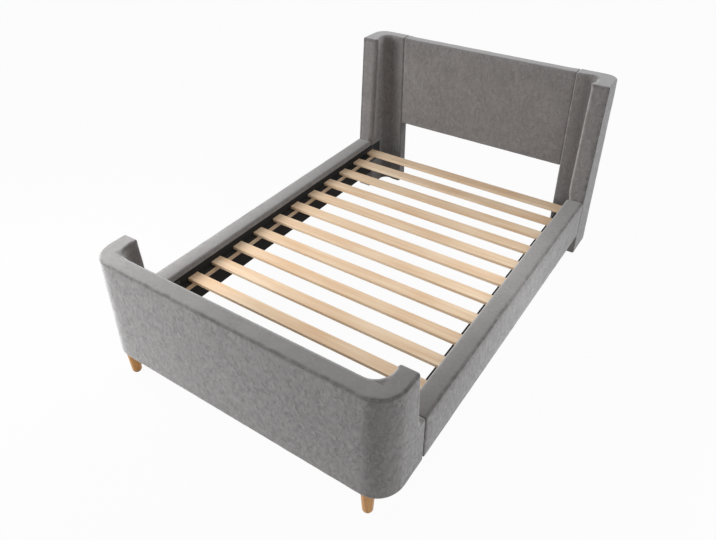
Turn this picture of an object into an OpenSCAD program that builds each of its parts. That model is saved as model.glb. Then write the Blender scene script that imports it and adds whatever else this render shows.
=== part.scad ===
// Upholstered bed frame with a curved footboard, boxed side rails, a slatted base and a
// headboard whose two wings are L-shaped in plan and stand on the floor.
// X is the width, Y runs from the foot to the head and Z is up. The shapes are drawn with
// Y = 0 on the footboard's front face, and placed() centres them on the origin.

/* [Mattress space] */
// Width of the mattress
mattress_w = 1200; // [900:10:1600]
// Length of the mattress
mattress_l = 2000; // [1900:10:2200]
// Free space on each side of the mattress
side_gap = 10; // [5:1:20]
// Free space along the mattress, in all
end_gap = 11; // [5:1:30]

/* [Footboard] */
// Height of the footboard's top
foot_h = 593; // [500:1:700]
// Height of the footboard's underside
foot_under = 110; // [90:1:140]
// Thickness of the footboard's wall
foot_t = 79; // [70:1:95]
// Outer radius of the footboard's corners
foot_corner_r = 110; // [85:1:150]
// Inner radius of the footboard's corners
foot_inner_r = 70; // [45:1:100]
// Length of the footboard's arms at the top
arm_top_l = 188; // [180:1:200]
// Length of the arms just above the side rails
arm_mid_l = 203; // [200:1:220]
// Length of the arms beside the side rails
arm_low_l = 247; // [240:1:300]
// Radius between the arm's end and its lower step
arm_step_r = 30; // [10:1:38]

/* [Side rails] */
// Width of a side rail
rail_w = 88; // [75:1:100]
// Height of the rail's top
rail_top = 323; // [305:1:345]
// Height of the rail's underside
rail_under = 117; // [100:1:130]
// Radius of the rail's upper edges
rail_round = 14; // [10:1:18]
// Gap between a rail's end and what it meets
rail_end_gap = 2; // [1:0.5:4]
// Thickness of the rail's inner load board
rail_board_t = 22; // [18:1:28]
// Thickness of the rail's outer board
rail_side_t = 12; // [9:1:18]
// Height of the battens between the two boards
rail_batten_h = 30; // [20:1:45]
// Thickness of the dark lining on the rail's inner face
lining_t = 3; // [2:0.5:4]
// Height from the rail's top down to the lining
lining_drop = 26; // [22:1:30]

/* [Headboard] */
// Height of the headboard
head_h = 940; // [850:5:1100]
// Thickness of the headboard's panel and of the wings' backs
panel_t = 65; // [60:1:75]
// Height of the panel's underside
panel_under = 413; // [380:1:450]
// Width of a wing across the back, from its side to the panel
wing_back_w = 200; // [170:1:240]
// Thickness of a wing's side
wing_side_t = 82; // [75:1:95]
// Depth of a wing at the floor
wing_depth = 230; // [200:1:260]
// Depth of a wing at the top
wing_top_depth = 185; // [160:1:199]
// Outer corner radius of a wing
wing_corner_r = 65; // [50:1:75]
// Inner corner radius of a wing
wing_inner_r = 45; // [30:1:55]
// Gap between the panel and each wing
panel_gap = 1; // [0.5:0.5:3]
// Thickness of the padding on the panel's front
panel_pad_t = 14; // [10:1:16]
// Thickness of the panel's front board
panel_board_t = 9; // [6:1:10]
// Width of the panel frame's members
panel_frame_w = 40; // [30:1:50]

/* [Upholstery] */
// Thickness of the cloth
cover_t = 1.5; // [1:0.1:2]
// Thickness of the foam under the cloth
foam_t = 8; // [6:0.5:9]

/* [Slats] */
// Width of a slat
slat_w = 60; // [50:1:80]
// Thickness of a slat
slat_t = 16; // [12:1:20]
// Height of the slats' upper faces
slat_top = 268.5; // [264:0.5:280]
// Radius of a slat's long edges
slat_edge_r = 2; // [1:0.5:5]
// Gap between a slat's end and the lining
slat_end_gap = 1; // [0.5:0.5:8]
// How far the first slat reaches between the footboard's arms
slat_reach = 6; // [0:1:20]
// How far the last slat reaches between the headboard's wings
slat_head_reach = 7.5; // [0:0.5:20]

/* [Ledgers] */
// Width of the ledger that carries the slats
ledger_w = 28.5; // [24:0.5:45]
// Height of the ledger
ledger_h = 24; // [20:1:30]
// Thickness of the felt on the ledger
felt_t = 1; // [0.5:0.5:2]

/* [Feet] */
// Diameter of a foot at the top
foot_top_d = 53; // [45:1:56]
// Diameter of a foot at the bottom
foot_end_d = 40; // [32:1:44]
// Bevel at the foot's lower edge
foot_bevel = 4; // [2:0.5:6]
// Distance from a foot's axis to the bed's side
foot_inset_x = 98; // [80:1:160]
// Distance from a foot's axis to the bed's front
foot_inset_y = 33; // [32:1:45]
// Thickness of the glide under a foot
foot_glide_t = 3; // [2:1:5]
// Diameter of the glides under the wings
wing_glide_d = 30; // [20:1:36]
// Thickness of the glides under the wings
wing_glide_t = 3; // [2:1:8]
// Distance from a wing's boards to the edge of its glides
glide_inset = 8; // [4:1:16]
// Length of a foot's bolt inside the foot
foot_bolt_depth = 50; // [30:1:70]
// Length of a foot's bolt above the base plate
foot_bolt_reach = 10; // [4:1:16]

/* [Frame boards] */
// Thickness of the footboard's bent skins
skin_t = 5; // [4:1:6]
// Thickness of the footboard's plates
plate_t = 15; // [12:1:18]
// Width of the footboard's studs
stud_w = 38; // [30:1:45]
// Thickness of the wings' boards
wing_board_t = 18; // [12:1:20]

/* [Fittings] */
// Thickness of the steel joint plates
joint_plate_t = 3; // [2:0.5:3]
// Length of a joint plate's leaf on the rail
joint_leaf_l = 95; // [90:1:100]
// Gap between a joint plate's other leaf and the footboard's inner corner
arm_leaf_gap = 5; // [3:1:12]
// Gap between a joint plate's other leaf and the wing's inner corner
wing_leaf_gap = 19; // [3:1:24]
// Height of a joint plate
joint_plate_h = 107; // [100:1:115]
// Height from the lining's top down to a joint plate
joint_drop = 11; // [8:1:16]
// Distance from a rail's end to its joint bolts
rail_bolt_inset = 75; // [70:1:80]
// Distance from the end of an arm or a wing to its joint bolts
far_bolt_inset = 45; // [40:1:50]
// Distance from a joint plate's upper and lower edges to the bolts
joint_bolt_edge = 16; // [14:1:18]
// Length of a joint bolt inside an arm
arm_bolt_l = 34; // [26:1:44]
// Length of a joint bolt inside a wing
wing_bolt_l = 24; // [20:0.5:26]
// Distance from the panel's upper and lower edges to its bolts
panel_bolt_drop = 70; // [60:1:110]
// Diameter of the bolts
bolt_d = 8; // [6:1:8]
// Diameter of a bolt's head
bolt_head_d = 15; // [13:1:16]
// Height of a bolt's head
bolt_head_h = 4; // [3:0.5:5]
// Diameter of the wood screws
screw_d = 4; // [3:0.5:5]
// Diameter of a wood screw's head
screw_head_d = 8; // [7:0.5:9]
// Height of a wood screw's head
screw_head_h = 2.5; // [2:0.5:3]
// Wood left beyond the tip of a screw
screw_short = 5; // [3:1:8]
// Wood left beyond the end of a bolt
bolt_short = 2; // [1:0.5:4]
// Wall of the tee nuts' barrels
tee_wall = 2; // [1:0.5:3]
// Diameter of the tee nuts' flanges
tee_flange_d = 24; // [18:1:26]
// Thickness of the tee nuts' flanges
tee_flange_t = 1.5; // [1:0.5:3]
// Clearance around a bolt in its hole
hole_gap = 0.2; // [0.1:0.1:0.5]

/* [Hidden] */
$fn = 96;
// How far a cut reaches past the faces it opens
cut = 1;

// Colours of the finishes
cloth_grey = "#807e7d";
foam_white = "#e4dfd0";
ply_tan = "#c8a878";
pine = "#e0c39b";
oak = "#b98a50";
lining_black = "#1b1a1b";
steel_black = "#242427";
zinc = "#a9abad";

// Half widths, from the mattress outwards
rail_in = mattress_w / 2 + side_gap;
rail_out = rail_in + rail_w;
wing_in = rail_out - wing_side_t;
arm_in = rail_out - foot_t;
wing_edge = rail_out - wing_back_w;
panel_half = wing_edge - panel_gap;
lining_in = rail_in - lining_t;
ledger_in = lining_in - ledger_w;
slat_half = lining_in - slat_end_gap;
foot_x = rail_out - foot_inset_x;

// Places along the bed, from the footboard's front face
panel_front = foot_t + mattress_l + end_gap;
bed_l = panel_front + panel_t;
wing_front = bed_l - wing_depth;
wing_front_top = bed_l - wing_top_depth;
rail_y0 = arm_low_l + rail_end_gap;
rail_y1 = wing_front - rail_end_gap;
slat_count = 12;
slat_y0 = arm_low_l - slat_reach;
slat_pitch = (wing_front + slat_head_reach - slat_w - slat_y0) / (slat_count - 1);

// Heights
slat_under = slat_top - slat_t;
ledger_top = slat_under - felt_t;
ledger_under = ledger_top - ledger_h;
lining_top = rail_top - lining_drop;
core_top = rail_top - rail_round;
base_z = foot_under + cover_t;
base_top = base_z + plate_t;
wing_base_z = wing_glide_t + cover_t;

// The cloth and its foam together, and with the footboard's skin
layer = cover_t + foam_t;
skinned = layer + skin_t;

// Joint plates and their bolts
joint_top = lining_top - joint_drop;
joint_under = joint_top - joint_plate_h;
joint_bolt_z = [joint_top - joint_bolt_edge, joint_under + joint_bolt_edge];
arm_leaf_l = arm_low_l + rail_end_gap - foot_t - foot_inner_r - arm_leaf_gap;
wing_leaf_l = wing_depth + rail_end_gap - panel_t - wing_inner_r - wing_leaf_gap;
rail_bolt_l = rail_board_t + cover_t + joint_plate_t - bolt_short;

// Screws
slat_screw_x = (ledger_in + slat_half) / 2;
slat_screw_tip = slat_top - screw_short;
ledger_screw_l = ledger_w + lining_t + cover_t + rail_board_t - screw_short;
ledger_screw_gaps = [1, 3, 5, 7, 9];

// The panel's frame and bolts
panel_z = panel_under + cover_t;
panel_core_front = panel_front + cover_t + panel_pad_t;
panel_frame_front = panel_core_front + panel_board_t;
panel_core_half = panel_half - layer;
panel_bolt_y = (panel_frame_front + bed_l - cover_t) / 2;
panel_bolt_z = [panel_under + panel_bolt_drop, (panel_under + head_h) / 2, head_h - panel_bolt_drop];
panel_bolt_x0 = panel_core_half - panel_frame_w + bolt_short;
panel_bolt_x1 = wing_edge + layer + wing_board_t - bolt_short;

// Screws and bolts of the feet
foot_bolt_z0 = foot_under - foot_bolt_depth;
foot_bolt_z1 = base_top + foot_bolt_reach;
tee_barrel_d = bolt_d + 2 * tee_wall;

// Puts what is drawn from the footboard's front face on the origin
module placed() {
    translate([0, -bed_l / 2, 0]) children();
}

// The same shape on the right, side = 1, or on the left, side = -1
module on_side(side) {
    placed() mirror([side < 0 ? 1 : 0, 0, 0]) children();
}

// A flat outline in Y and Z, drawn out along X
module along_x(x0, x1) {
    translate([x0, 0, 0]) rotate([90, 0, 90]) linear_extrude(height = x1 - x0) children();
}

// A flat outline in X and Z, drawn out along Y
module along_y(y0, y1) {
    translate([0, y1, 0]) rotate([90, 0, 0]) linear_extrude(height = y1 - y0) children();
}

module box(x0, x1, y0, y1, z0, z1) {
    translate([x0, y0, z0]) cube([x1 - x0, y1 - y0, z1 - z0]);
}

// A round bar along X
module bar_x(x0, x1, y, z, d) {
    translate([x0, y, z]) rotate([0, 90, 0]) cylinder(h = x1 - x0, d = d);
}

// A round bar along Z
module bar_z(x, y, z0, z1, d) {
    translate([x, y, z0]) cylinder(h = z1 - z0, d = d);
}

// Outside of the footboard in plan, drawn in by inset
module footboard_outer_plan(inset, length) {
    r = foot_corner_r;
    translate([-(rail_out - r), inset]) square([2 * (rail_out - r), length - 2 * inset]);
    translate([-(rail_out - inset), r]) square([2 * (rail_out - inset), length - inset - r]);
    for (s = [-1, 1])
        translate([s * (rail_out - r), r]) circle(r = r - inset);
}

// Space inside the footboard in plan, widened by inset
module footboard_inner_plan(inset, length) {
    r = foot_inner_r;
    translate([-(arm_in - r), foot_t - inset]) square([2 * (arm_in - r), length]);
    translate([-(arm_in + inset), foot_t + r]) square([2 * (arm_in + inset), length]);
    for (s = [-1, 1])
        translate([s * (arm_in - r), foot_t + r]) circle(r = r + inset);
}

// Side view of the footboard: the arms are longer beside the rails than above them
module footboard_side_profile(inset, z0) {
    polygon([[-cut, z0], [arm_low_l - inset, z0], [arm_low_l - inset, rail_top - inset],
        [arm_mid_l - inset, rail_top - inset], [arm_top_l - inset, foot_h - inset],
        [-cut, foot_h - inset]]);
    translate([arm_mid_l - inset, rail_top - inset]) difference() {
        translate([-arm_step_r, -cut]) square([2 * arm_step_r, arm_step_r + cut]);
        translate([arm_step_r, arm_step_r]) circle(r = arm_step_r);
    }
}

// The footboard's full form, with its faces moved in by inset
module footboard_form(inset, z0) {
    intersection() {
        linear_extrude(height = foot_h) difference() {
            footboard_outer_plan(inset, arm_low_l);
            footboard_inner_plan(inset, 2 * arm_low_l);
        }
        along_x(-rail_out - cut, rail_out + cut) footboard_side_profile(inset, z0);
    }
}

// Bolts that hold the joint plates, on the right side
module joint_bolt_shafts(d) {
    near_x = rail_in - joint_plate_t;
    for (z = joint_bolt_z) {
        for (y = [rail_y0 + rail_bolt_inset, rail_y1 - rail_bolt_inset])
            bar_x(near_x, near_x + rail_bolt_l, y, z, d);
        bar_x(arm_in - joint_plate_t, arm_in + arm_bolt_l, arm_low_l - far_bolt_inset, z, d);
        bar_x(wing_in - joint_plate_t, wing_in + wing_bolt_l, wing_front + far_bolt_inset, z, d);
    }
}

module joint_bolt_heads() {
    h = joint_plate_t + bolt_head_h;
    for (z = joint_bolt_z) {
        for (y = [rail_y0 + rail_bolt_inset, rail_y1 - rail_bolt_inset])
            bar_x(rail_in - h, rail_in - joint_plate_t, y, z, bolt_head_d);
        bar_x(arm_in - h, arm_in - joint_plate_t, arm_low_l - far_bolt_inset, z, bolt_head_d);
        bar_x(wing_in - h, wing_in - joint_plate_t, wing_front + far_bolt_inset, z, bolt_head_d);
    }
}

// Screws that hold the ledger, on the right side, one in every other gap between slats
module ledger_screw_shafts(d) {
    for (i = ledger_screw_gaps)
        bar_x(ledger_in, ledger_in + ledger_screw_l, slat_y(i) + (slat_w + slat_pitch) / 2,
            (ledger_top + ledger_under) / 2, d);
}

// Screws driven up through the ledger into the slats, on the right side
module slat_screw_shafts(d) {
    for (i = [0 : slat_count - 1])
        bar_z(slat_screw_x, slat_y(i) + slat_w / 2, ledger_under + screw_head_h, slat_screw_tip, d);
}

// Their countersunk heads, flush with the ledger's underside
module slat_screw_heads() {
    for (i = [0 : slat_count - 1])
        translate([slat_screw_x, slat_y(i) + slat_w / 2, ledger_under])
            cylinder(h = screw_head_h, d1 = screw_head_d, d2 = screw_d);
}

// Bolts between the panel and a wing, on the right side
module panel_bolt_shafts(d) {
    for (z = panel_bolt_z)
        bar_x(panel_bolt_x0, panel_bolt_x1, panel_bolt_y, z, d);
}

// Front edge of slat number i, counted from the foot
function slat_y(i) = slat_y0 + i * slat_pitch;

// The footboard
module footboard_cover() {
    color(cloth_grey) placed() difference() {
        footboard_form(0, foot_under);
        footboard_form(cover_t, base_z);
        for (s = [0, 1]) mirror([s, 0, 0]) joint_bolt_shafts(bolt_d + 2 * hole_gap);
        for (s = [-1, 1])
            bar_z(s * foot_x, foot_inset_y, foot_under - cut, base_z + cut, bolt_d);
    }
}

module footboard_foam() {
    color(foam_white) placed() difference() {
        footboard_form(cover_t, base_z);
        footboard_form(layer, base_z - cut);
        for (s = [0, 1]) mirror([s, 0, 0]) joint_bolt_shafts(bolt_d + 2 * hole_gap);
    }
}

module footboard_outer_skin() {
    color(ply_tan) placed() intersection() {
        linear_extrude(height = foot_h) difference() {
            footboard_outer_plan(layer, arm_low_l);
            footboard_outer_plan(skinned, 2 * arm_low_l);
        }
        along_x(-rail_out, rail_out) footboard_side_profile(layer, base_z);
    }
}

module footboard_inner_skin() {
    color(ply_tan) placed() difference() {
        intersection() {
            linear_extrude(height = foot_h) difference() {
                intersection() {
                    footboard_outer_plan(layer, arm_low_l);
                    footboard_inner_plan(skinned, 2 * arm_low_l);
                }
                footboard_inner_plan(layer, 2 * arm_low_l);
            }
            along_x(-rail_out, rail_out) footboard_side_profile(layer, base_z);
        }
        for (s = [0, 1]) mirror([s, 0, 0]) joint_bolt_shafts(bolt_d + 2 * hole_gap);
    }
}

// What lies between the footboard's skins in plan, with arms of the given length
module footboard_core_plan(length) {
    intersection() {
        difference() {
            footboard_outer_plan(skinned, 2 * arm_low_l);
            footboard_inner_plan(skinned, 2 * arm_low_l);
        }
        translate([-rail_out, 0]) square([2 * rail_out, length]);
    }
}

module footboard_base_plate() {
    color(ply_tan) placed() difference() {
        translate([0, 0, base_z]) linear_extrude(height = plate_t)
            footboard_core_plan(arm_low_l - layer);
        for (s = [-1, 1])
            bar_z(s * foot_x, foot_inset_y, base_z - cut, base_top + cut, tee_barrel_d);
    }
}

module footboard_top_plate() {
    color(ply_tan) placed() translate([0, 0, foot_h - layer - plate_t])
        linear_extrude(height = plate_t) footboard_core_plan(arm_top_l - layer);
}

// Studs stand between the plates along the front, clear of the feet's bolts
module footboard_studs() {
    z0 = base_top;
    z1 = foot_h - layer - plate_t;
    stud_span = 2 * (arm_in - foot_inner_r) - 2 * stud_w;
    stud_count = 5;
    color(pine) placed() for (i = [0 : stud_count - 1]) {
        x = -stud_span / 2 + i * stud_span / (stud_count - 1);
        box(x - stud_w / 2, x + stud_w / 2, skinned, foot_t - skinned, z0, z1);
    }
}

// A post at the end of each arm, and a block in its lower step that takes the joint's bolts
module footboard_end_posts() {
    x0 = arm_in + skinned;
    x1 = rail_out - skinned;
    z0 = base_top;
    color(pine) placed() for (s = [0, 1]) mirror([s, 0, 0]) difference() {
        union() {
            box(x0, x1, arm_top_l - layer - stud_w, arm_top_l - layer, z0, foot_h - layer - plate_t);
            box(x0, x1, arm_top_l - layer, arm_low_l - layer, z0, rail_top - layer);
        }
        joint_bolt_shafts(bolt_d + 2 * hole_gap);
    }
}

// A turned foot under each front corner
module foot(side) {
    color(oak) placed() translate([side * foot_x, foot_inset_y, 0]) difference() {
        rotate_extrude() polygon([[0, foot_glide_t], [foot_end_d / 2 - foot_bevel, foot_glide_t],
            [foot_end_d / 2, foot_glide_t + foot_bevel], [foot_top_d / 2, foot_under], [0, foot_under]]);
        translate([0, 0, foot_bolt_z0]) cylinder(h = foot_bolt_z1 - foot_bolt_z0, d = bolt_d);
    }
}

module foot_left() {
    foot(-1);
}

module foot_right() {
    foot(1);
}

module foot_bolts() {
    color(zinc) placed() for (s = [-1, 1])
        bar_z(s * foot_x, foot_inset_y, foot_bolt_z0, foot_bolt_z1, bolt_d);
}

module foot_tee_nuts() {
    z1 = base_top + tee_flange_t;
    color(zinc) placed() for (s = [-1, 1]) difference() {
        union() {
            bar_z(s * foot_x, foot_inset_y, base_z, base_top, tee_barrel_d);
            bar_z(s * foot_x, foot_inset_y, base_top, z1, tee_flange_d);
        }
        bar_z(s * foot_x, foot_inset_y, base_z - cut, z1 + cut, bolt_d);
    }
}

module foot_glides() {
    color(lining_black) placed() for (s = [-1, 1])
        bar_z(s * foot_x, foot_inset_y, 0, foot_glide_t, foot_end_d - 2 * foot_bevel);
}

// A side rail in section, with its faces moved in by inset and its upper edges rounded
module rail_profile(inset) {
    r = rail_round;
    translate([rail_in + inset, rail_under + inset])
        square([rail_w - 2 * inset, rail_top - r - rail_under - inset]);
    translate([rail_in + r, core_top - cut]) square([rail_w - 2 * r, r + cut - inset]);
    for (x = [rail_in + r, rail_out - r])
        translate([x, core_top]) circle(r = r - inset);
}

// The rail's box of boards in section
module rail_core_profile() {
    translate([rail_in + cover_t, rail_under + cover_t])
        square([rail_w - cover_t - layer, core_top - rail_under - cover_t]);
}

module rail_cover(side) {
    color(cloth_grey) on_side(side) difference() {
        along_y(rail_y0, rail_y1) difference() {
            rail_profile(0);
            rail_profile(cover_t);
        }
        joint_bolt_shafts(bolt_d + 2 * hole_gap);
        ledger_screw_shafts(screw_d);
    }
}

module rail_foam(side) {
    color(foam_white) on_side(side) along_y(rail_y0, rail_y1) difference() {
        rail_profile(cover_t);
        rail_core_profile();
    }
}

module rail_board(side) {
    x0 = rail_in + cover_t;
    color(pine) on_side(side) difference() {
        box(x0, x0 + rail_board_t, rail_y0, rail_y1, rail_under + cover_t, core_top);
        joint_bolt_shafts(bolt_d + 2 * hole_gap);
        ledger_screw_shafts(screw_d);
    }
}

module rail_side(side) {
    x1 = rail_out - layer;
    color(ply_tan) on_side(side)
        box(x1 - rail_side_t, x1, rail_y0, rail_y1, rail_under + cover_t, core_top);
}

module rail_battens(side) {
    x0 = rail_in + cover_t + rail_board_t;
    x1 = rail_out - layer - rail_side_t;
    z0 = rail_under + cover_t;
    color(pine) on_side(side) {
        box(x0, x1, rail_y0, rail_y1, z0, z0 + rail_batten_h);
        box(x0, x1, rail_y0, rail_y1, core_top - rail_batten_h, core_top);
    }
}

// Dark felt board on the rail's inner face, cut out around the joint plates, and the felt
// strip from it over the ledger
module rail_lining(side) {
    color(lining_black) on_side(side) difference() {
        union() {
            difference() {
                box(lining_in, rail_in, rail_y0, rail_y1, rail_under, lining_top);
                box(lining_in - cut, rail_in + cut, rail_y0 - cut, rail_y0 + joint_leaf_l,
                    joint_under, joint_top);
                box(lining_in - cut, rail_in + cut, rail_y1 - joint_leaf_l, rail_y1 + cut,
                    joint_under, joint_top);
            }
            box(ledger_in, lining_in, rail_y0, rail_y1, ledger_top, slat_under);
        }
        ledger_screw_shafts(screw_d);
        slat_screw_shafts(screw_d);
    }
}

module ledger(side) {
    color(pine) on_side(side) difference() {
        box(ledger_in, lining_in, rail_y0, rail_y1, ledger_under, ledger_top);
        ledger_screw_shafts(screw_d);
        slat_screw_shafts(screw_d);
        slat_screw_heads();
    }
}

module ledger_screws() {
    for (side = [-1, 1])
        color(zinc) on_side(side) ledger_screw_shafts(screw_d);
}

// Steel plate with one leaf on the rail and the other, set back, on the wing or the arm
module joint_plate(side, joint_y, dir, far_x, far_leaf_l) {
    bend_y = joint_y - dir * rail_end_gap;
    near_y0 = min(bend_y, bend_y - dir * joint_leaf_l);
    far_y0 = min(bend_y, bend_y + dir * far_leaf_l);
    bend_y0 = min(bend_y, bend_y + dir * joint_plate_t);
    near_x = rail_in - joint_plate_t;
    color(steel_black) on_side(side) difference() {
        union() {
            box(near_x, rail_in, near_y0, near_y0 + joint_leaf_l, joint_under, joint_top);
            box(near_x, far_x, bend_y0, bend_y0 + joint_plate_t, joint_under, joint_top);
            box(far_x - joint_plate_t, far_x, far_y0, far_y0 + far_leaf_l, joint_under, joint_top);
        }
        joint_bolt_shafts(bolt_d + 2 * hole_gap);
    }
}

module joint_bolts() {
    for (side = [-1, 1])
        color(steel_black) on_side(side) {
            joint_bolt_shafts(bolt_d);
            joint_bolt_heads();
        }
}

// A wing of the headboard in plan, with its faces moved in by inset
module wing_plan(inset) {
    cx = rail_out - wing_corner_r;
    cy = bed_l - wing_corner_r;
    fx = wing_in - wing_inner_r;
    fy = panel_front - wing_inner_r;
    difference() {
        union() {
            translate([wing_in + inset, wing_front + inset])
                square([wing_side_t - 2 * inset, wing_depth - 2 * inset]);
            translate([wing_edge + inset, panel_front + inset])
                square([wing_back_w - 2 * inset, panel_t - 2 * inset]);
            difference() {
                translate([fx, fy]) square(wing_inner_r + inset + cut);
                translate([fx, fy]) circle(r = wing_inner_r + inset);
            }
        }
        difference() {
            translate([cx, cy]) square(wing_corner_r + cut);
            translate([cx, cy]) circle(r = wing_corner_r - inset);
        }
    }
}

// A wing's full form: its front edge leans back above the rail
module wing_form(inset, z0) {
    intersection() {
        linear_extrude(height = head_h) wing_plan(inset);
        along_x(0, rail_out + cut)
            polygon([[wing_front + inset, z0], [bed_l + cut, z0], [bed_l + cut, head_h - inset],
                [wing_front_top + inset, head_h - inset], [wing_front + inset, rail_top]]);
    }
}

module wing_cover(side) {
    color(cloth_grey) on_side(side) difference() {
        wing_form(0, wing_glide_t);
        wing_form(cover_t, wing_base_z);
        joint_bolt_shafts(bolt_d + 2 * hole_gap);
        panel_bolt_shafts(bolt_d + 2 * hole_gap);
    }
}

module wing_foam(side) {
    color(foam_white) on_side(side) difference() {
        wing_form(cover_t, wing_base_z);
        wing_form(layer, 0);
        joint_bolt_shafts(bolt_d + 2 * hole_gap);
        panel_bolt_shafts(bolt_d + 2 * hole_gap);
    }
}

// A box of boards with the wing's form
module wing_frame(side) {
    wall = layer + wing_board_t;
    color(pine) on_side(side) difference() {
        wing_form(layer, wing_base_z);
        wing_form(wall, wing_base_z + wing_board_t);
        joint_bolt_shafts(bolt_d + 2 * hole_gap);
        panel_bolt_shafts(bolt_d + 2 * hole_gap);
    }
}

// Three glides under each wing: at its front, its corner and its inner end
module wing_glides(side) {
    side_x = rail_out - wing_side_t / 2;
    back_y = bed_l - panel_t / 2;
    color(lining_black) on_side(side) {
        bar_z(side_x, wing_front + layer + glide_inset + wing_glide_d / 2, 0, wing_glide_t,
            wing_glide_d);
        bar_z(side_x, back_y, 0, wing_glide_t, wing_glide_d);
        bar_z(wing_edge + layer + glide_inset + wing_glide_d / 2, back_y, 0, wing_glide_t,
            wing_glide_d);
    }
}

// The panel between the wings
module panel_cover() {
    color(cloth_grey) placed() difference() {
        box(-panel_half, panel_half, panel_front, bed_l, panel_under, head_h);
        box(-panel_half + cover_t, panel_half - cover_t, panel_front + cover_t, bed_l - cover_t,
            panel_z, head_h - cover_t);
        for (s = [0, 1]) mirror([s, 0, 0]) panel_bolt_shafts(bolt_d + 2 * hole_gap);
    }
}

module panel_foam() {
    color(foam_white) placed() difference() {
        box(-panel_half + cover_t, panel_half - cover_t, panel_front + cover_t, bed_l - cover_t,
            panel_z, head_h - cover_t);
        box(-panel_core_half, panel_core_half, panel_core_front, bed_l, panel_z - cut,
            head_h - layer);
        for (s = [0, 1]) mirror([s, 0, 0]) panel_bolt_shafts(bolt_d + 2 * hole_gap);
    }
}

module panel_board() {
    color(ply_tan) placed()
        box(-panel_core_half, panel_core_half, panel_core_front, panel_frame_front,
            panel_z, head_h - layer);
}

// Timber frame behind the board, with a middle member
module panel_frame() {
    w = panel_frame_w;
    y1 = bed_l - cover_t;
    z0 = panel_z;
    z1 = head_h - layer;
    color(pine) placed() difference() {
        union() {
            box(-panel_core_half, panel_core_half, panel_frame_front, y1, z0, z0 + w);
            box(-panel_core_half, panel_core_half, panel_frame_front, y1, z1 - w, z1);
            for (x = [-panel_core_half, -w / 2, panel_core_half - w])
                box(x, x + w, panel_frame_front, y1, z0, z1);
        }
        for (s = [0, 1]) mirror([s, 0, 0]) panel_bolt_shafts(bolt_d);
    }
}

module panel_bolts() {
    for (side = [-1, 1])
        color(zinc) on_side(side) panel_bolt_shafts(bolt_d);
}

// A slat in section, with its long edges rounded
module slat_profile() {
    r = slat_edge_r;
    translate([r, 0]) square([slat_w - 2 * r, slat_t]);
    translate([0, r]) square([slat_w, slat_t - 2 * r]);
    for (y = [r, slat_w - r], z = [r, slat_t - r])
        translate([y, z]) circle(r = r);
}

// Slat number i, counted from the foot, with a blind hole for a screw under each end
module slat(i) {
    color(pine) placed() difference() {
        translate([0, slat_y(i), slat_under]) along_x(-slat_half, slat_half) slat_profile();
        for (s = [-1, 1])
            bar_z(s * slat_screw_x, slat_y(i) + slat_w / 2, slat_under - cut, slat_screw_tip, screw_d);
    }
}

module slat_screws() {
    for (side = [-1, 1])
        color(zinc) on_side(side) {
            slat_screw_shafts(screw_d);
            slat_screw_heads();
        }
}

footboard_cover();
footboard_foam();
footboard_outer_skin();
footboard_inner_skin();
footboard_base_plate();
footboard_top_plate();
footboard_studs();
footboard_end_posts();
foot_left();
foot_right();
foot_bolts();
foot_tee_nuts();
foot_glides();
rail_cover(-1);  // rail_cover_left
rail_cover(1);  // rail_cover_right
rail_foam(-1);  // rail_foam_left
rail_foam(1);  // rail_foam_right
rail_board(-1);  // rail_board_left
rail_board(1);  // rail_board_right
rail_side(-1);  // rail_side_left
rail_side(1);  // rail_side_right
rail_battens(-1);  // rail_battens_left
rail_battens(1);  // rail_battens_right
rail_lining(-1);  // rail_lining_left
rail_lining(1);  // rail_lining_right
ledger(-1);  // ledger_left
ledger(1);  // ledger_right
ledger_screws();
joint_plate(-1, wing_front, 1, wing_in, wing_leaf_l);  // joint_plate_head_left
joint_plate(1, wing_front, 1, wing_in, wing_leaf_l);  // joint_plate_head_right
joint_plate(-1, arm_low_l, -1, arm_in, arm_leaf_l);  // joint_plate_foot_left
joint_plate(1, arm_low_l, -1, arm_in, arm_leaf_l);  // joint_plate_foot_right
joint_bolts();
wing_cover(-1);  // wing_cover_left
wing_cover(1);  // wing_cover_right
wing_foam(-1);  // wing_foam_left
wing_foam(1);  // wing_foam_right
wing_frame(-1);  // wing_frame_left
wing_frame(1);  // wing_frame_right
wing_glides(-1);  // wing_glides_left
wing_glides(1);  // wing_glides_right
panel_cover();
panel_foam();
panel_board();
panel_frame();
panel_bolts();
slat(0);  // slat_01
slat(1);  // slat_02
slat(2);  // slat_03
slat(3);  // slat_04
slat(4);  // slat_05
slat(5);  // slat_06
slat(6);  // slat_07
slat(7);  // slat_08
slat(8);  // slat_09
slat(9);  // slat_10
slat(10);  // slat_11
slat(11);  // slat_12
slat_screws();
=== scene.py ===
import math
import bmesh
import bpy
from mathutils import Matrix, Vector, noise


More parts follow.
